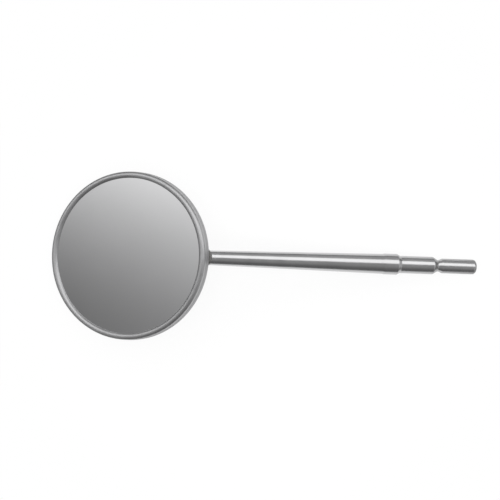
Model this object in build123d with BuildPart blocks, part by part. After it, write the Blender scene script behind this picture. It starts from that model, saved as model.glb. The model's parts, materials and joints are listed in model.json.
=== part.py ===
"""Mouth mirror head on a tapered stem that plugs into a handle, in millimetres.

The mirror lies on a table, face up: +X runs from the head to the plug, +Z is up, and the
origin is on the table under the middle of the object's length. It rests on two points, the
far edge of the pan's back and the tip of the plug.

Two flat coordinates describe every section in the plane of symmetry, Y = 0:
- in the head, u runs across the mirror towards the stem and w stands out of its face, with
  w = 0 on the reflecting surface;
- along the stem, t runs from the foot, where the stem's axis meets the pan's back, to the tip.
"""

import os
from math import asin, atan2, cos, degrees, hypot, radians, sin

from build123d import *

# Head: a sheet steel pan, closed by a ring that holds the glass down
head_d = 24.0  # outer diameter, the size known as number 5
sheet_t = 0.4  # wall and floor of the pan
back_edge_r = 0.6  # rounding between the pan's wall and its back
ring_skirt = 0.5  # how far the ring reaches down from the mirror's level to the pan's wall
lip_w = 0.9  # width of the ring seen from the front
lip_rise = 0.35  # how far the ring's crown stands above the mirror
lip_edge_rise = 0.08  # height of the lip where it meets the mirror
lip_round_r = 0.45  # rounding of the ring's outer edge

# What the pan holds, from the front
film_t = 0.05  # reflecting film, drawn thicker than it is
glass_t = 1.1
glass_bevel = 0.2  # bevel round the front of the glass
seal_t = 0.2  # gap between glass and wall, filled with sealant
pad_t = 0.3  # cushion between the glass and the floor of the pan

# Stem: turned in one piece with the plug
bend_angle = 40.0  # between the mirror's face and the stem
foot_inset = 2.7  # from the head's edge to where the stem's axis meets the back
neck_d = 2.1
neck_length = 2.6  # parallel stretch beside the head, measured along the axis
taper_end_d = 2.88
collar_d = 3.0
collar_length = 1.9
collar_edge = 0.12  # length of the small bevel where the taper rises to the collar
stem_length = 42.3  # from the foot to the tip
solder_r = 0.5  # radius of the solder fillet round the foot

# Plug: what goes into the handle
shoulder_length = 0.5  # sloped face between the collar and the shank
shank_d = 2.5
shank_length = 4.95
groove_d = 1.65
groove_lead = 0.7  # gentle slope from the shank into the snap groove
groove_floor = 0.2
groove_back = 0.5  # steep side of the groove
end_d = 2.1
end_length = 5.1
tip_r = 0.5  # rounding of the tip

# Levels and radii that follow from the sizes above
head_r = head_d / 2
wall_in_r = head_r - sheet_t
floor_corner_r = back_edge_r - sheet_t  # inside the pan, between wall and floor
floor_r = wall_in_r - floor_corner_r  # flat part of the pan's floor
glass_r = wall_in_r - seal_t
film_r = glass_r - glass_bevel
lip_in_r = head_r - lip_w
glass_back_w = -(film_t + glass_t)
pad_back_w = glass_back_w - pad_t
back_w = pad_back_w - sheet_t
neck_r = neck_d / 2
collar_r = collar_d / 2
shank_r = shank_d / 2
groove_r = groove_d / 2
end_r = end_d / 2

# Places along the stem
groove_end_t = stem_length - end_length
groove_start_t = groove_end_t - groove_lead - groove_floor - groove_back
shank_start_t = groove_start_t - shank_length
collar_end_t = shank_start_t - shoulder_length
collar_start_t = collar_end_t - collar_length


def in_head(t, out):
    """The point (u, w) that is t along the stem and out from its axis, on the face's side."""
    bend = radians(bend_angle)
    u = head_r - foot_inset + t * cos(bend) + out * sin(bend)
    w = back_w - t * sin(bend) + out * cos(bend)
    return u, w


# How it lies. The table touches the rounding of the pan's back edge and that of the tip,
# which are two circles in the plane of symmetry, so the table is their common tangent.
pan_touch = (back_edge_r - head_r, back_w + back_edge_r)
tip_touch = in_head(stem_length - tip_r, tip_r - end_r)
across = tip_touch[0] - pan_touch[0]
along = tip_touch[1] - pan_touch[1]
lie = asin((tip_r - back_edge_r) / hypot(across, along)) - atan2(along, across)
table = pan_touch[0] * sin(lie) + pan_touch[1] * cos(lie) - back_edge_r

# Its two ends along X are the ring's outer rounding and the upper side of the tip.
ring_round = (lip_round_r - head_r, lip_rise - lip_round_r)
low_x = ring_round[0] * cos(lie) - ring_round[1] * sin(lie) - lip_round_r
tip_top = in_head(stem_length - tip_r, end_r - tip_r)
high_x = tip_top[0] * cos(lie) - tip_top[1] * sin(lie) + tip_r
middle = (low_x + high_x) / 2


def place(u, w):
    """A head point (u, w) in the object's own frame."""
    return Vector(u * cos(lie) - w * sin(lie) - middle, 0, u * sin(lie) + w * cos(lie) - table)


along_face = Vector(cos(lie), 0, sin(lie))
out_of_face = Vector(-sin(lie), 0, cos(lie))
down_stem = place(*in_head(1, 0)) - place(*in_head(0, 0))
to_viewer = Vector(0, -1, 0)

# Section planes: radius and w in the head, t and radius along the stem
head_section = Plane(origin=place(0, 0), x_dir=along_face, z_dir=to_viewer)
stem_section = Plane(origin=place(*in_head(0, 0)), x_dir=down_stem, z_dir=to_viewer)
back_plane = Plane(origin=place(*in_head(0, 0)), x_dir=along_face, z_dir=out_of_face)
head_axis = Axis(place(0, 0), out_of_face)
stem_axis = Axis(place(*in_head(0, 0)), down_stem)


def save(piece, name):
    piece.part.label = name
    export_step(piece.part, f"parts/{name}.step")


os.makedirs("parts", exist_ok=True)

# Pan: drawn from sheet, with a flat floor and a short wall
with BuildPart() as mirror_pan:
    with BuildSketch(head_section):
        with BuildLine():
            outer = FilletPolyline(
                (0, back_w), (head_r, back_w), (head_r, -ring_skirt), radius=back_edge_r
            )
            inner = FilletPolyline(
                (0, pad_back_w),
                (wall_in_r, pad_back_w),
                (wall_in_r, -ring_skirt),
                radius=floor_corner_r,
            )
            Line(outer @ 0, inner @ 0)
            Line(outer @ 1, inner @ 1)
        make_face()
    revolve(axis=head_axis)
save(mirror_pan, "mirror_pan")

# Ring: welded to the pan's wall, with a rounded lip that reaches over the glass
with BuildPart() as rim_ring:
    with BuildSketch(head_section):
        with BuildLine():
            skirt = Line((head_r, -ring_skirt), (head_r, lip_rise - lip_round_r))
            outer_round = RadiusArc(
                skirt @ 1, (head_r - lip_round_r, lip_rise), -lip_round_r
            )
            lip_slope = TangentArc(
                outer_round @ 1, (lip_in_r, lip_edge_rise), tangent=outer_round % 1
            )
            Polyline(
                lip_slope @ 1,
                (lip_in_r, 0),
                (wall_in_r, 0),
                (wall_in_r, -ring_skirt),
                skirt @ 0,
            )
        make_face()
    revolve(axis=head_axis)
save(rim_ring, "rim_ring")

# Glass: a ground disc with its front edge bevelled
with BuildPart() as mirror_glass:
    with BuildSketch(head_section):
        with BuildLine():
            Polyline(
                (0, -film_t),
                (film_r, -film_t),
                (glass_r, -film_t - glass_bevel),
                (glass_r, glass_back_w),
                (0, glass_back_w),
                close=True,
            )
        make_face()
    revolve(axis=head_axis)
save(mirror_glass, "mirror_glass")

# Film: the reflecting layer on the front of the glass, up to its bevel
with BuildPart() as reflecting_film:
    with BuildSketch(Plane(head_section.origin, x_dir=along_face, z_dir=out_of_face)):
        Circle(film_r)
    extrude(amount=-film_t)
save(reflecting_film, "reflecting_film")

# Pad: fills the pan behind the glass and the seal, its edge relieved for the pan's corner
with BuildPart() as cushion_pad:
    with BuildSketch(head_section):
        with BuildLine():
            Polyline(
                (0, pad_back_w),
                (floor_r, pad_back_w),
                (wall_in_r, pad_back_w + floor_corner_r),
                (wall_in_r, glass_back_w),
                (0, glass_back_w),
                close=True,
            )
        make_face()
    revolve(axis=head_axis)
save(cushion_pad, "cushion_pad")

# Seal: sealant that fills the gap round the glass and over its bevel, under the lip
with BuildPart() as edge_seal:
    with BuildSketch(head_section):
        with BuildLine():
            Polyline(
                (film_r, 0),
                (film_r, -film_t),
                (glass_r, -film_t - glass_bevel),
                (glass_r, glass_back_w),
                (wall_in_r, glass_back_w),
                (wall_in_r, 0),
                close=True,
            )
        make_face()
    revolve(axis=head_axis)
save(edge_seal, "edge_seal")

# Stem: neck, taper, collar and plug on one axis, its foot cut along the pan's back
with BuildPart() as stem:
    with BuildSketch(stem_section):
        with BuildLine():
            Polyline(
                (-neck_length, 0),
                (-neck_length, neck_r),
                (neck_length, neck_r),
                (collar_start_t - collar_edge, taper_end_d / 2),
                (collar_start_t, collar_r),
                (collar_end_t, collar_r),
                (shank_start_t, shank_r),
                (groove_start_t, shank_r),
                (groove_start_t + groove_lead, groove_r),
                (groove_end_t - groove_back, groove_r),
                (groove_end_t, end_r),
                (stem_length, end_r),
                (stem_length, 0),
                close=True,
            )
        make_face()
    revolve(axis=stem_axis)
    fillet(edges().filter_by(GeomType.CIRCLE).sort_by(stem_axis)[-1], tip_r)
    split(bisect_by=back_plane, keep=Keep.BOTTOM)
save(stem, "stem")

# Solder: the fillet that is left round the foot when stem and back are taken away
with BuildPart() as solder_fillet:
    with BuildSketch(back_plane):
        Circle(neck_d + 2 * solder_r)
    extrude(amount=sheet_t)
    add(stem.part)
    fillet(edges().filter_by(GeomType.ELLIPSE), solder_r)
    add(stem.part, mode=Mode.SUBTRACT)
    split(bisect_by=back_plane, keep=Keep.BOTTOM)
save(solder_fillet, "solder_fillet")

# Where a handle's socket meets the plug
shank_middle = place(*in_head(shank_start_t + shank_length / 2, 0))
end_middle = place(*in_head(groove_end_t + (end_length - tip_r) / 2, 0))
print("face tilted", round(degrees(lie), 3), "degrees; stem along", down_stem)
print("middle of the shank", shank_middle)
print("middle of the plug's end", end_middle)
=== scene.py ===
import json
from math import cos, hypot, pi, radians, sin, tan

import bmesh
import bpy
from mathutils import Matrix, Vector, noise


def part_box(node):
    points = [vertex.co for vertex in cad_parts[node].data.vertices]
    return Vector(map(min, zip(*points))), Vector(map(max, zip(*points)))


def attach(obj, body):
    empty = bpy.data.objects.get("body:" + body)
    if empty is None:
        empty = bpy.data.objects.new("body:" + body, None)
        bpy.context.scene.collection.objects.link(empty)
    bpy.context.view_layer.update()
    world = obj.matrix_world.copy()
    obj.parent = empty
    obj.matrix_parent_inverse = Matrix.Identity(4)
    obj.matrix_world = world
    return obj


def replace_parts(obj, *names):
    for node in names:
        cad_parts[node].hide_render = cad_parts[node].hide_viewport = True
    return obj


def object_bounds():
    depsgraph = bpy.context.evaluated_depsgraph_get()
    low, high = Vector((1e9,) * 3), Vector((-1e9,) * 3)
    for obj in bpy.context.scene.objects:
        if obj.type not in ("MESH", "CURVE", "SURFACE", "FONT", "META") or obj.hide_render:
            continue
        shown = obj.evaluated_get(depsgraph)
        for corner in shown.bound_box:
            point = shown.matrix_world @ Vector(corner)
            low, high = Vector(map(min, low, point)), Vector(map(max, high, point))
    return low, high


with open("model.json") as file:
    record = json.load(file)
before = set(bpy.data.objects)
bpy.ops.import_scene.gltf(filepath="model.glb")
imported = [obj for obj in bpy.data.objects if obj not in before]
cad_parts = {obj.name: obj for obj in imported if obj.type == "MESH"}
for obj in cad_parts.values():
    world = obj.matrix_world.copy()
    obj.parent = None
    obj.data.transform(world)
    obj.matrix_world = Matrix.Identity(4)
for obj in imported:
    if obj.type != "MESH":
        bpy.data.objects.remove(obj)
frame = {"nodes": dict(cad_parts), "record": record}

cad_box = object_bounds()
nodes = frame["nodes"]
mounts = {m["name"]: m for m in frame["record"]["mounts"]}
MM = 0.001
UM = 1e-6
sharp_angle = radians(38)  # edges sharper than this stay crisp in the shading

# ---------------------------------------------------------------- sizes, in millimetres
# Head: a drawn pan, closed by a lipped ring. Levels are measured from the mirror's face.
head_r = 12.0
sheet_t = 0.4
back_edge_r = 0.6
seam_w = -0.5  # level of the weld between ring and pan
seam_bevel = 0.07  # weld preparation on both edges
bead_r = 0.075  # the weld bead lies in that bevel, flush with the wall
lip_w = 0.9
lip_rise = 0.35
lip_edge_rise = 0.08
lip_round_r = 0.45
broken_edge = 0.03  # every sharp edge is broken by polishing
rim_wave = 0.02  # how uneven the lip's inner edge is after it was spun over the glass
lip_waves = 2.2  # how quickly that edge wanders round the rim
weld_pulses = 150  # laser pulses round the seam
pulse_swell, bead_swell = 0.06, 0.05  # how much a pulse and the hand-off between them swell it

# Stem: distances from its foot on the pan's back
neck_r = 1.05
neck_end = 2.6
taper_end_r = 1.44
collar_r = 1.5
collar_start, collar_end = 28.45, 30.35
collar_edge = 0.12
shank_r = 1.25
shank_start, shank_end = 30.85, 35.8
groove_r = 0.825
groove_floor_start, groove_floor_end = 36.5, 36.7
end_r = 1.05
end_start, stem_end = 37.2, 42.3
tip_r = 0.5
solder_r = 0.5
solder_flow = 0.07  # how unevenly the solder ran round the foot, as a share of its radius
solder_root = 0.15  # how far the hidden side of the solder reaches into the stem
solder_sink = 0.05  # and how far into the pan

# ---------------------------------------------------------------- where the CAD says things are
film = nodes["reflecting_film"]
face_out = sum(
    (p.normal * p.area for p in film.data.polygons if p.normal.z > 0.5), Vector()
).normalized()
sideways = Vector((0, 1, 0))
film_low, film_high = map(Vector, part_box("reflecting_film"))
face_centre = (film_low + film_high) / 2
face_centre += face_out * max(
    (v.co - face_centre).dot(face_out) for v in film.data.vertices
)
pan_depth = -min(
    (v.co - face_centre).dot(face_out) for v in nodes["mirror_pan"].data.vertices
)
stem_point = Vector(mounts["plug_end"]["pos_m"])
down_stem = Vector(mounts["plug_end"]["axis"]).normalized()
back_point = face_centre - face_out * pan_depth
to_foot = (back_point - stem_point).dot(face_out) / down_stem.dot(face_out)
foot = stem_point + down_stem * to_foot


def axis_frame(origin, up):
    """A matrix whose Z runs along up and whose Y is the object's own sideways."""
    across = sideways.cross(up).normalized()
    turn = Matrix((across, sideways, up)).transposed().to_4x4()
    return Matrix.Translation(origin) @ turn


head_frame = axis_frame(face_centre, face_out)
stem_frame = axis_frame(foot, down_stem)
back_w = -pan_depth / MM


# ---------------------------------------------------------------- shapes
def eased(corners, longest=0.5, steps=5):
    """The outline through corners (radius, height, rounding), with round corners and short runs."""
    outline = []
    last = len(corners) - 1
    for i, (x, y, ease) in enumerate(corners):
        here = Vector((x, y))
        if ease == 0 or i in (0, last):
            outline.append(here)
            continue
        before = (Vector(corners[i - 1][:2]) - here).normalized()
        after = (Vector(corners[i + 1][:2]) - here).normalized()
        reach = ease / tan(before.angle(after) / 2)
        start, end = here + before * reach, here + after * reach
        middle = here + (before + after).normalized() * hypot(reach, ease)
        for k in range(steps + 1):
            point = start.lerp(end, k / steps) - middle
            outline.append(middle + point.normalized() * ease)
    fine = [outline[0]]
    for start, end in zip(outline, outline[1:]):
        parts = max(1, int((end - start).length / longest + 0.999))  # rounded up
        fine += [start.lerp(end, (k + 1) / parts) for k in range(parts)]
    return [p for p, q in zip(fine, [None] + fine) if q is None or (p - q).length > 1e-5]


def lathe(name, outline, place, turns, loop=False, uneven=None):
    """Turns an outline of (radius, height) in millimetres about the Z of place.

    A loop is a closed ring, and uneven moves each point by its angle.
    """
    mesh = bmesh.new()
    rows = []
    for r, h in outline:
        if r < 1e-6:
            rows.append([mesh.verts.new((0, 0, h * MM))])
            continue
        row = []
        for k in range(turns):
            angle = 2 * pi * k / turns
            out, up = uneven(angle, r, h) if uneven else (r, h)
            row.append(
                mesh.verts.new((out * cos(angle) * MM, out * sin(angle) * MM, up * MM))
            )
        rows.append(row)
    if loop:
        rows.append(rows[0])
    for low, high in zip(rows, rows[1:]):
        for k in range(turns):
            corners = [
                low[k % len(low)],
                low[(k + 1) % len(low)],
                high[(k + 1) % len(high)],
                high[k % len(high)],
            ]
            mesh.faces.new(list(dict.fromkeys(corners)))
    return finished(name, mesh, place)


def finished(name, mesh, place):
    """Makes the object of a bmesh, set down at place, with outward faces and smooth shading."""
    mesh.transform(place)
    bmesh.ops.recalc_face_normals(mesh, faces=mesh.faces)
    for face in mesh.faces:
        face.smooth = True
    data = bpy.data.meshes.new(name)
    mesh.to_mesh(data)
    mesh.free()
    data.set_sharp_from_angle(angle=sharp_angle)
    made = bpy.data.objects.new(name, data)
    bpy.context.scene.collection.objects.link(made)
    return made


def arc(centre, radius, start, end, steps):
    """Points round a centre, from one angle in degrees to another."""
    angles = (radians(start + (end - start) * k / steps) for k in range(steps + 1))
    return [(centre[0] + radius * cos(a), centre[1] + radius * sin(a)) for a in angles]


# Pan: flat back, round edge and a short wall that ends in the weld's bevel
pan_outline = eased(
    [
        (0, back_w, 0),
        (head_r, back_w, back_edge_r),
        (head_r, seam_w - seam_bevel, 0.015),
        (head_r - seam_bevel, seam_w, 0),
        (head_r - sheet_t, seam_w, 0),
        (head_r - sheet_t, back_w + sheet_t, back_edge_r - sheet_t),
        (0, back_w + sheet_t, 0),
    ],
    steps=8,
)
drawn_pan = lathe("drawn_pan", pan_outline, head_frame, 192)
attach(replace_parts(drawn_pan, "mirror_pan"), "root")

# Ring: skirt, round outer edge, then the lip that was spun over the glass
crown = (head_r - lip_round_r, lip_rise - lip_round_r)
lip_run = lip_w - lip_round_r
lip_drop = lip_rise - lip_edge_rise
lip_bend_r = (lip_run**2 + lip_drop**2) / (2 * lip_drop)
lip_bend = (head_r - lip_round_r, lip_rise - lip_bend_r)
lip_start = 90
lip_end = 90 + 2 * (90 - (180 / pi) * Vector((lip_drop, lip_run)).angle(Vector((1, 0))))
ring_outline = (
    [(head_r - seam_bevel, seam_w), (head_r, seam_w + seam_bevel)]
    + arc(crown, lip_round_r, 0, 90, 14)
    + arc(lip_bend, lip_bend_r, lip_start, lip_end, 12)[1:]
    + [
        (head_r - lip_w, lip_edge_rise - broken_edge),
        (head_r - lip_w, 0),
        (head_r - sheet_t, 0),
        (head_r - sheet_t, seam_w),
    ]
)


def spun(angle, r, h):
    """The lip's inner part wanders a little, as it does when metal is spun over glass."""
    inward = max(0.0, (head_r - lip_round_r - r) / lip_run)
    if h > 0.01 and inward > 0:
        wander = noise.noise(Vector((lip_waves * cos(angle), lip_waves * sin(angle), 5.0)))
        return r + rim_wave * inward * wander, h
    return r, h


lipped_ring = lathe("lipped_ring", ring_outline, head_frame, 256, True, spun)
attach(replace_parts(lipped_ring, "rim_ring"), "root")

# Weld bead: a thin round seam in the bevel between ring and pan
bead_centre = (head_r - bead_r - 0.005, seam_w)


def rippled(angle, r, h):
    """Laser weld ripples: the bead swells a little at every overlap."""
    slow = noise.noise(Vector((9 * cos(angle), 9 * sin(angle), 0)))
    swell = 1 + pulse_swell * cos(angle * weld_pulses) + bead_swell * slow
    return bead_centre[0] + (r - bead_centre[0]) * swell, seam_w + (h - seam_w) * swell


weld_seam = lathe(
    "weld_seam", arc(bead_centre, bead_r, 0, 330, 11), head_frame, 900, True, rippled
)
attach(weld_seam, "root")

# Stem: one turned bar, its foot cut off level with the pan's back
stem_outline = eased(
    [
        (0, -neck_end, 0),
        (neck_r, -neck_end, 0),
        (neck_r, neck_end, 3.0),
        (taper_end_r, collar_start - collar_edge, 0.3),
        (collar_r, collar_start, 0.1),
        (collar_r, collar_end, 0.12),
        (shank_r, shank_start, 0.12),
        (shank_r, shank_end, 0.5),
        (groove_r, groove_floor_start, 0.34),
        (groove_r, groove_floor_end, 0.42),
        (end_r, end_start, 0.4),
        (end_r, stem_end, tip_r),
        (0, stem_end, 0),
    ],
    longest=0.6,
    steps=8,
)
turned_stem = lathe("turned_stem", stem_outline, stem_frame, 128)
cut = bmesh.new()
cut.from_mesh(turned_stem.data)
bmesh.ops.bisect_plane(
    cut,
    geom=cut.verts[:] + cut.edges[:] + cut.faces[:],
    plane_co=back_point,
    plane_no=face_out,
    clear_outer=True,
)
bmesh.ops.edgeloop_fill(cut, edges=[e for e in cut.edges if e.is_boundary])
cut.to_mesh(turned_stem.data)
cut.free()
turned_stem.data.set_sharp_from_angle(angle=sharp_angle)
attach(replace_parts(turned_stem, "stem"), "root")

# Solder: a hollow fillet round the foot, wide under the lean of the stem and narrow behind it
around, across_fillet = 96, 8
rows = []
solder = bmesh.new()
for k in range(around):
    angle = 2 * pi * k / around
    outward = stem_frame.to_3x3() @ Vector((cos(angle), sin(angle), 0))
    on_bar = foot + outward * neck_r * MM
    slide = (back_point - on_bar).dot(face_out) / down_stem.dot(face_out)
    corner = on_bar + down_stem * slide
    away = (outward - face_out * outward.dot(face_out)).normalized()
    opening = pi - outward.angle(-face_out)
    flow = 1 + solder_flow * noise.noise(Vector((1.6 * cos(angle), 1.6 * sin(angle), 3.0)))
    reach = solder_r * MM / tan(opening / 2) * flow
    low = corner + away * reach
    high = corner + down_stem * reach
    row = []
    for i in range(across_fillet + 1):
        f = i / across_fillet
        point = low * (1 - f) ** 2 + corner * 2 * f * (1 - f) + high * f**2
        row.append(solder.verts.new(point))
    inside = corner - outward * solder_root * MM
    row.append(solder.verts.new(inside + down_stem * reach * 0.8))
    row.append(solder.verts.new(inside + face_out * solder_sink * MM))
    rows.append(row)
for k in range(around):
    here, there = rows[k], rows[(k + 1) % around]
    for i in range(len(here)):
        j = (i + 1) % len(here)
        solder.faces.new((here[i], here[j], there[j], there[i]))
solder_bead = finished("solder_bead", solder, Matrix.Identity(4))
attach(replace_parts(solder_bead, "solder_fillet"), "root")


# ---------------------------------------------------------------- materials
def linear(code):
    """An sRGB hex colour as linear RGBA."""
    parts = [int(code[i : i + 2], 16) / 255 for i in (1, 3, 5)]
    return [c / 12.92 if c <= 0.04045 else ((c + 0.055) / 1.055) ** 2.4 for c in parts] + [1]


def per_metre(size_mm):
    """The texture scale at which one feature of a pattern is size_mm across."""
    return 1 / (size_mm * MM)


def add(tree, kind, inputs=None, **settings):
    """One node: settings are its own properties, inputs are values or sockets to link."""
    made = tree.nodes.new(kind)
    for key, value in settings.items():
        setattr(made, key, value)
    for key, value in (inputs or {}).items():
        if isinstance(value, bpy.types.NodeSocket):
            tree.links.new(value, made.inputs[key])
        else:
            made.inputs[key].default_value = value
    return made


def new_material(name):
    """An empty node material and its tree."""
    made = bpy.data.materials.new(name)
    made.use_nodes = True
    made.node_tree.nodes.clear()
    return made, made.node_tree


def lathe_coordinates(tree, axis):
    """Coordinates that run along a turned piece: distance from the axis, and height on it."""
    place = add(
        tree,
        "ShaderNodeMapping",
        {
            "Vector": add(tree, "ShaderNodeTexCoord").outputs["Object"],
            "Location": axis.translation,
            "Rotation": axis.to_euler(),
        },
        vector_type="TEXTURE",
    ).outputs[0]
    split = add(tree, "ShaderNodeSeparateXYZ", {0: place})
    flat = add(tree, "ShaderNodeCombineXYZ", {"X": split.outputs["X"], "Y": split.outputs["Y"]})
    radius = add(tree, "ShaderNodeVectorMath", {0: flat.outputs[0]}, operation="LENGTH")
    rings = add(
        tree, "ShaderNodeCombineXYZ", {"X": radius.outputs["Value"], "Y": split.outputs["Z"]}
    )
    return place, rings.outputs[0]


def metal(name, axis, dark, light, rough, mark_mm, mark_depth_um, cloud_mm):
    """A worked metal: fine marks round its axis, and a slow change of tone and polish.

    Dark and light are its two tones, rough is its least and most roughness, the marks are
    mark_mm apart and mark_depth_um deep, and a cloud of tone is cloud_mm across.
    """
    made, tree = new_material(name)
    place, rings = lathe_coordinates(tree, axis)
    marks = add(
        tree,
        "ShaderNodeTexNoise",
        {"Vector": rings, "Scale": per_metre(mark_mm), "Detail": 3.0, "Roughness": 0.6},
    )
    clouds = add(
        tree,
        "ShaderNodeTexNoise",
        {"Vector": place, "Scale": per_metre(cloud_mm), "Detail": 4.0},
    )
    tone = add(
        tree,
        "ShaderNodeMapRange",
        {"Value": clouds.outputs["Fac"], "From Min": 0.3, "From Max": 0.7},
    )
    colour = add(
        tree,
        "ShaderNodeMix",
        {"Factor": tone.outputs[0], 6: linear(dark), 7: linear(light)},
        data_type="RGBA",
    )
    polish = add(
        tree,
        "ShaderNodeMath",
        {0: clouds.outputs["Fac"], 1: marks.outputs["Fac"]},
        operation="MULTIPLY",
    )
    roughness = add(
        tree,
        "ShaderNodeMapRange",
        {
            "Value": polish.outputs[0],
            "From Min": 0.12,
            "From Max": 0.4,
            "To Min": rough[0],
            "To Max": rough[1],
        },
    )
    bump = add(
        tree,
        "ShaderNodeBump",
        {"Height": marks.outputs["Fac"], "Distance": mark_depth_um * UM, "Strength": 1.0},
    )
    shader = add(
        tree,
        "ShaderNodeBsdfPrincipled",
        {
            "Base Color": colour.outputs[2],
            "Metallic": 1.0,
            "Roughness": roughness.outputs[0],
            "Normal": bump.outputs[0],
        },
    )
    add(tree, "ShaderNodeOutputMaterial", {"Surface": shader.outputs[0]})
    return made


# Turned and polished stainless steel: neutral grey with soft highlights that run along the
# bar. The tool's feed marks are 0.05 mm apart, and are drawn 0.15 mm apart so that they show.
turned_stainless = metal(
    "turned_stainless_steel", stem_frame, "#C4C4C5", "#CDCDCE", (0.16, 0.26), 0.15, 1.2, 3.0
)
# Satin polished stainless steel: softer and a little darker than the stem, with faint lines
# round the rim from the buffing wheel, 0.03 mm wide and drawn 0.12 mm wide.
polished_stainless = metal(
    "polished_stainless_steel", head_frame, "#B4B4B5", "#BFBFC0", (0.36, 0.46), 0.12, 0.8, 2.0
)
# Drawn and lapped stainless sheet: satin circles on the back, left by the polishing mop,
# 0.05 mm apart and drawn 0.18 mm apart.
drawn_stainless = metal(
    "drawn_stainless_sheet", head_frame, "#A8A8A9", "#B8B8B9", (0.42, 0.55), 0.18, 1.4, 4.0
)
# Laser weld: the same steel, melted and set again, a little shinier than the sheet beside it.
welded_stainless = metal(
    "laser_welded_stainless_steel", head_frame, "#B2B2B2", "#C2C2C1", (0.28, 0.42), 0.1, 1.0, 0.6
)
# Silver solder: soft pale metal, slightly warm, that flowed and was wiped while hot.
silver_solder = metal(
    "silver_solder", stem_frame, "#D8D7D4", "#E2E1DE", (0.26, 0.38), 0.4, 1.5, 0.7
)

# Rhodium film on ground glass: a front surface mirror with no tint and no second image. What
# shows on it is a faint wiping haze, a few millimetres wide.
rhodium, tree = new_material("rhodium_film_on_glass")
place = add(tree, "ShaderNodeTexCoord").outputs["Object"]
haze_mm = 5.0
haze = add(
    tree,
    "ShaderNodeTexNoise",
    {
        "Vector": place,
        "Scale": per_metre(haze_mm),
        "Detail": 5.0,
        "Roughness": 0.6,
        "Distortion": 0.8,
    },
)
roughness = add(
    tree,
    "ShaderNodeMapRange",
    {
        "Value": haze.outputs["Fac"],
        "From Min": 0.35,
        "From Max": 0.7,
        "To Min": 0.03,
        "To Max": 0.07,
    },
)
tone = add(
    tree,
    "ShaderNodeMix",
    {"Factor": haze.outputs["Fac"], 6: linear("#DFDFE0"), 7: linear("#E4E4E5")},
    data_type="RGBA",
)
shader = add(
    tree,
    "ShaderNodeBsdfPrincipled",
    {"Base Color": tone.outputs[2], "Metallic": 1.0, "Roughness": roughness.outputs[0]},
)
add(tree, "ShaderNodeOutputMaterial", {"Surface": shader.outputs[0]})


def moulded(name, dark, light, rough, grain_mm, transmission, ior):
    """A smooth non-metal with a fine grain in tone, polish and relief."""
    grain_depth_um = 2
    made, tree = new_material(name)
    place = add(tree, "ShaderNodeTexCoord").outputs["Object"]
    grain = add(
        tree,
        "ShaderNodeTexNoise",
        {"Vector": place, "Scale": per_metre(grain_mm), "Detail": 4.0},
    )
    colour = add(
        tree,
        "ShaderNodeMix",
        {"Factor": grain.outputs["Fac"], 6: linear(dark), 7: linear(light)},
        data_type="RGBA",
    )
    roughness = add(
        tree,
        "ShaderNodeMapRange",
        {"Value": grain.outputs["Fac"], "To Min": rough[0], "To Max": rough[1]},
    )
    bump = add(
        tree,
        "ShaderNodeBump",
        {"Height": grain.outputs["Fac"], "Distance": grain_depth_um * UM, "Strength": 1.0},
    )
    shader = add(
        tree,
        "ShaderNodeBsdfPrincipled",
        {
            "Base Color": colour.outputs[2],
            "Roughness": roughness.outputs[0],
            "Normal": bump.outputs[0],
            "Transmission Weight": transmission,
            "IOR": ior,
        },
    )
    add(tree, "ShaderNodeOutputMaterial", {"Surface": shader.outputs[0]})
    return made


# Ground soda-lime glass: clear, with a fine grey bloom from the grinding.
ground_glass = moulded("ground_glass", "#D6DEDB", "#E8EEEC", (0.02, 0.12), 0.3, 1.0, 1.52)
# Cured silicone sealant: milky grey with a soft sheen.
silicone_sealant = moulded("silicone_sealant", "#ABABA8", "#BDBDBA", (0.4, 0.55), 0.4, 0.0, 1.41)
# Silicone sheet: pale and matt, with a fine pressed texture.
silicone_sheet = moulded("silicone_sheet", "#DAD8D0", "#E9E7E0", (0.55, 0.7), 0.25, 0.0, 1.41)

finishes = {
    drawn_pan: drawn_stainless,
    lipped_ring: polished_stainless,
    weld_seam: welded_stainless,
    turned_stem: turned_stainless,
    solder_bead: silver_solder,
    nodes["reflecting_film"]: rhodium,
    nodes["mirror_glass"]: ground_glass,
    nodes["edge_seal"]: silicone_sealant,
    nodes["cushion_pad"]: silicone_sheet,
    nodes["mirror_pan"]: drawn_stainless,
    nodes["rim_ring"]: polished_stainless,
    nodes["stem"]: turned_stainless,
    nodes["solder_fillet"]: silver_solder,
}
for piece, finish in finishes.items():
    piece.data.materials.clear()
    piece.data.materials.append(finish)


# ---------------------------------------------------------------- studio
def panel(name, width, height, place):
    """A flat stage panel that faces along the Z of place."""
    mesh = bmesh.new()
    bmesh.ops.create_grid(mesh, x_segments=1, y_segments=1, size=0.5)
    bmesh.ops.scale(mesh, vec=(width, height, 1), verts=mesh.verts)
    data = bpy.data.meshes.new(name)
    mesh.to_mesh(data)
    mesh.free()
    made = bpy.data.objects.new(name, data)
    bpy.context.scene.collection.objects.link(made)
    made.matrix_world = place
    return made


def facing(position, target, roll_axis):
    """A matrix at position whose Z looks at target and whose X runs along roll_axis."""
    toward = (target - position).normalized()
    up = toward.cross(roll_axis).normalized()
    right = up.cross(toward)
    return Matrix.Translation(position) @ Matrix((right, up, toward)).transposed().to_4x4()


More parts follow.
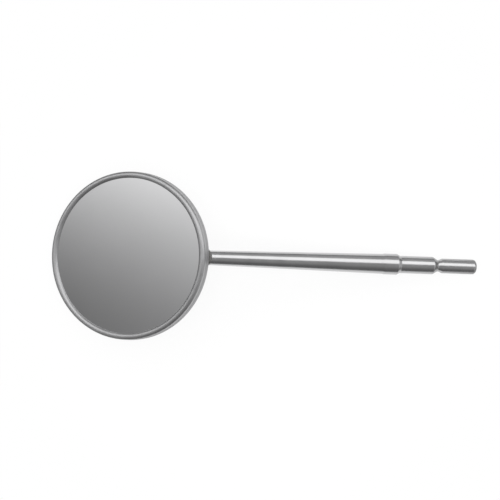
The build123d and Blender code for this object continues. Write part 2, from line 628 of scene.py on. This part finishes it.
# Floor: pale paper. It is plain white to the eye, and white in the metal near the object. Near
# the object it takes a share of the real light, so that it keeps a soft shadow. Away from the
# object it lights the metal as a grey floor would.
floor_size = 6
white_radius, grey_radius = 0.010, 0.042
own_white = 0.86  # the share of plain white where the shadow falls
fibre_mm = 1.5
paper, tree = new_material("pale_paper_floor")
path = add(tree, "ShaderNodeLightPath")
place = add(tree, "ShaderNodeTexCoord").outputs["Object"]
distance = add(tree, "ShaderNodeVectorMath", {0: place}, operation="LENGTH")
near = add(
    tree,
    "ShaderNodeMapRange",
    {
        "Value": distance.outputs["Value"],
        "From Min": white_radius,
        "From Max": grey_radius,
        "To Min": 1.0,
        "To Max": 0.0,
    },
    interpolation_type="SMOOTHSTEP",
)
seen_in = add(
    tree,
    "ShaderNodeMath",
    {0: path.outputs["Is Glossy Ray"], 1: path.outputs["Is Transmission Ray"]},
    operation="MAXIMUM",
)
reflected = add(
    tree,
    "ShaderNodeMath",
    {0: seen_in.outputs[0], 1: near.outputs[0]},
    operation="MULTIPLY",
)
seen = add(
    tree,
    "ShaderNodeMath",
    {0: path.outputs["Is Camera Ray"], 1: reflected.outputs[0]},
    operation="MAXIMUM",
)
shadowed = add(
    tree,
    "ShaderNodeMapRange",
    {"Value": near.outputs[0], "To Min": 1.0, "To Max": own_white},
)
white = add(
    tree,
    "ShaderNodeMath",
    {0: seen.outputs[0], 1: shadowed.outputs[0]},
    operation="MULTIPLY",
)
fibres = add(
    tree,
    "ShaderNodeTexNoise",
    {"Vector": place, "Scale": per_metre(fibre_mm), "Detail": 3.0},
)
pale = add(
    tree,
    "ShaderNodeMix",
    {"Factor": fibres.outputs["Fac"], 6: linear("#F4F4F4"), 7: linear("#F8F8F8")},
    data_type="RGBA",
)
light_part = add(
    tree,
    "ShaderNodeMath",
    {0: near.outputs[0], 1: path.outputs["Is Camera Ray"]},
    operation="MAXIMUM",
)
shade = add(
    tree,
    "ShaderNodeMix",
    {"Factor": light_part.outputs[0], 6: linear("#707070"), 7: pale.outputs[2]},
    data_type="RGBA",
)
matt = add(tree, "ShaderNodeBsdfDiffuse", {"Color": shade.outputs[2]})
glow = add(tree, "ShaderNodeEmission", {"Color": linear("#FFFFFF"), "Strength": 1.0})
mixed = add(
    tree,
    "ShaderNodeMixShader",
    {0: white.outputs[0], 1: matt.outputs[0], 2: glow.outputs[0]},
)
add(tree, "ShaderNodeOutputMaterial", {"Surface": mixed.outputs[0]})
floor = panel("floor", floor_size, floor_size, Matrix.Identity(4))
floor.data.materials.append(paper)

middle = (Vector(cad_box[0]) + Vector(cad_box[1])) / 2


def lit_panel(name, width, height, place, strength, seen_in_metal=True):
    """A softbox: an evenly lit panel that the camera doesn't see."""
    made = panel(name, width, height, place)
    light, tree = new_material(name + "_light")
    glow = add(tree, "ShaderNodeEmission", {"Color": linear("#FFFFFF"), "Strength": strength})
    add(tree, "ShaderNodeOutputMaterial", {"Surface": glow.outputs[0]})
    made.data.materials.append(light)
    made.visible_camera = False
    made.visible_glossy = seen_in_metal
    return made


lengthwise = Vector((1, 0, 0))

# Long softbox behind the object: the bright stripe along the stem
softbox_length, softbox_height = 2.6, 0.40
softbox_angle, softbox_distance = radians(61), 0.5
softbox_way = Vector((0, cos(softbox_angle), sin(softbox_angle)))
softbox_place = facing(middle + softbox_distance * softbox_way, middle, lengthwise)
lit_panel("long_softbox", softbox_length, softbox_height, softbox_place, 1.5)

# Overhead fill, for the floor and anything matt
fill_size, fill_height = 1.2, 1.4
fill_place = facing(middle + Vector((0, 0, fill_height)), middle, lengthwise)
lit_panel("overhead_fill", fill_size, fill_size, fill_place, 4.2, seen_in_metal=False)

# Graded card in front of the mirror's face: what the mirror shows. Its brightness is worked out
# from the place on the card, in metres from its middle: a level, a slope along X, a slope and a
# curve along Y, and a twist of the two.
card_level, card_slope_x, card_slope_y = 0.43, 10.5, -24.5
card_curve_y, card_twist = 700.0, -411.0
card, tree = new_material("graded_card_light")
place = add(tree, "ShaderNodeTexCoord").outputs["Object"]
split = add(tree, "ShaderNodeSeparateXYZ", {0: place})
cross = add(
    tree,
    "ShaderNodeMath",
    {0: split.outputs["X"], 1: card_twist, 2: card_slope_y},
    operation="MULTIPLY_ADD",
)
rise = add(
    tree,
    "ShaderNodeMath",
    {0: split.outputs["Y"], 1: card_curve_y, 2: cross.outputs[0]},
    operation="MULTIPLY_ADD",
)
grade = add(
    tree,
    "ShaderNodeMath",
    {0: split.outputs["Y"], 1: rise.outputs[0], 2: card_level},
    operation="MULTIPLY_ADD",
)
lean = add(
    tree,
    "ShaderNodeMath",
    {0: split.outputs["X"], 1: card_slope_x, 2: grade.outputs[0]},
    operation="MULTIPLY_ADD",
)
glow = add(tree, "ShaderNodeEmission", {"Color": linear("#FFFFFF"), "Strength": lean.outputs[0]})
add(tree, "ShaderNodeOutputMaterial", {"Surface": glow.outputs[0]})

# ---------------------------------------------------------------- camera
# A long lens, almost straight above, turned so that the stem runs slightly downhill
to_camera = Vector((-0.058, -0.02, 0.998)).normalized()
upward = Vector((-0.030, 0.9995, 0.0089))
upward = (upward - to_camera * upward.dot(to_camera)).normalized()
rightward = upward.cross(to_camera)
camera_distance = 1.0
aim_right, aim_up = 17.38, 0.80  # millimetres from the middle of the face
camera = bpy.data.objects.new("camera", bpy.data.cameras.new("camera"))
bpy.context.scene.collection.objects.link(camera)
camera.location = face_centre + to_camera * camera_distance
aim = face_centre + rightward * aim_right * MM + upward * aim_up * MM
look = (camera.location - aim).normalized()
side = upward.cross(look).normalized()
camera.matrix_world = Matrix.Translation(camera.location) @ Matrix(
    (side, look.cross(side), look)
).transposed().to_4x4()
camera.data.sensor_width = 36
camera.data.lens = 505
camera.data.clip_start, camera.data.clip_end = 0.01, 10
bpy.context.scene.camera = camera

# The card stands where the mirror sends the camera's view
mirrored = (2 * face_out.dot(to_camera) * face_out - to_camera).normalized()
card_distance, card_size = 0.11, 0.04
card_centre = face_centre + mirrored * card_distance
card_place = facing(card_centre, face_centre, sideways.cross(mirrored))
card_board = panel("graded_card", card_size, card_size, card_place)
card_board.data.materials.append(card)
card_board.visible_camera = False
card_board.visible_diffuse = False

# World: a dim room with paler back and side walls and ceiling, white to the eye
world = bpy.data.worlds.new("studio")
bpy.context.scene.world = world
world.use_nodes = True
tree = world.node_tree
tree.nodes.clear()
direction = add(tree, "ShaderNodeTexCoord").outputs["Generated"]
split = add(tree, "ShaderNodeSeparateXYZ", {0: direction})
back_wall = add(
    tree,
    "ShaderNodeMapRange",
    {
        "Value": split.outputs["Y"],
        "From Min": 0.0,
        "From Max": 0.9,
        "To Min": 0.15,
        "To Max": 0.42,
    },
    interpolation_type="SMOOTHSTEP",
)
ceiling = add(
    tree,
    "ShaderNodeMapRange",
    {
        "Value": split.outputs["Z"],
        "From Min": 0.3,
        "From Max": 1.0,
        "To Min": 0.0,
        "To Max": 0.2,
    },
    interpolation_type="SMOOTHSTEP",
)
sideward = add(tree, "ShaderNodeMath", {0: split.outputs["X"]}, operation="ABSOLUTE")
side_wall = add(
    tree,
    "ShaderNodeMapRange",
    {
        "Value": sideward.outputs[0],
        "From Min": 0.42,
        "From Max": 0.95,
        "To Min": 0.0,
        "To Max": 0.4,
    },
    interpolation_type="SMOOTHSTEP",
)
walls = add(
    tree,
    "ShaderNodeMath",
    {0: back_wall.outputs[0], 1: side_wall.outputs[0]},
    operation="ADD",
)
room = add(
    tree,
    "ShaderNodeMath",
    {0: walls.outputs[0], 1: ceiling.outputs[0]},
    operation="ADD",
)
path = add(tree, "ShaderNodeLightPath")
white = add(
    tree,
    "ShaderNodeMix",
    {0: path.outputs["Is Camera Ray"], 2: room.outputs[0], 3: 1.0},
    data_type="FLOAT",
)
sky = add(
    tree,
    "ShaderNodeBackground",
    {"Color": linear("#FFFFFF"), "Strength": white.outputs[0]},
)
add(tree, "ShaderNodeOutputWorld", {"Surface": sky.outputs[0]})

bpy.context.scene.view_settings.view_transform = "Standard"
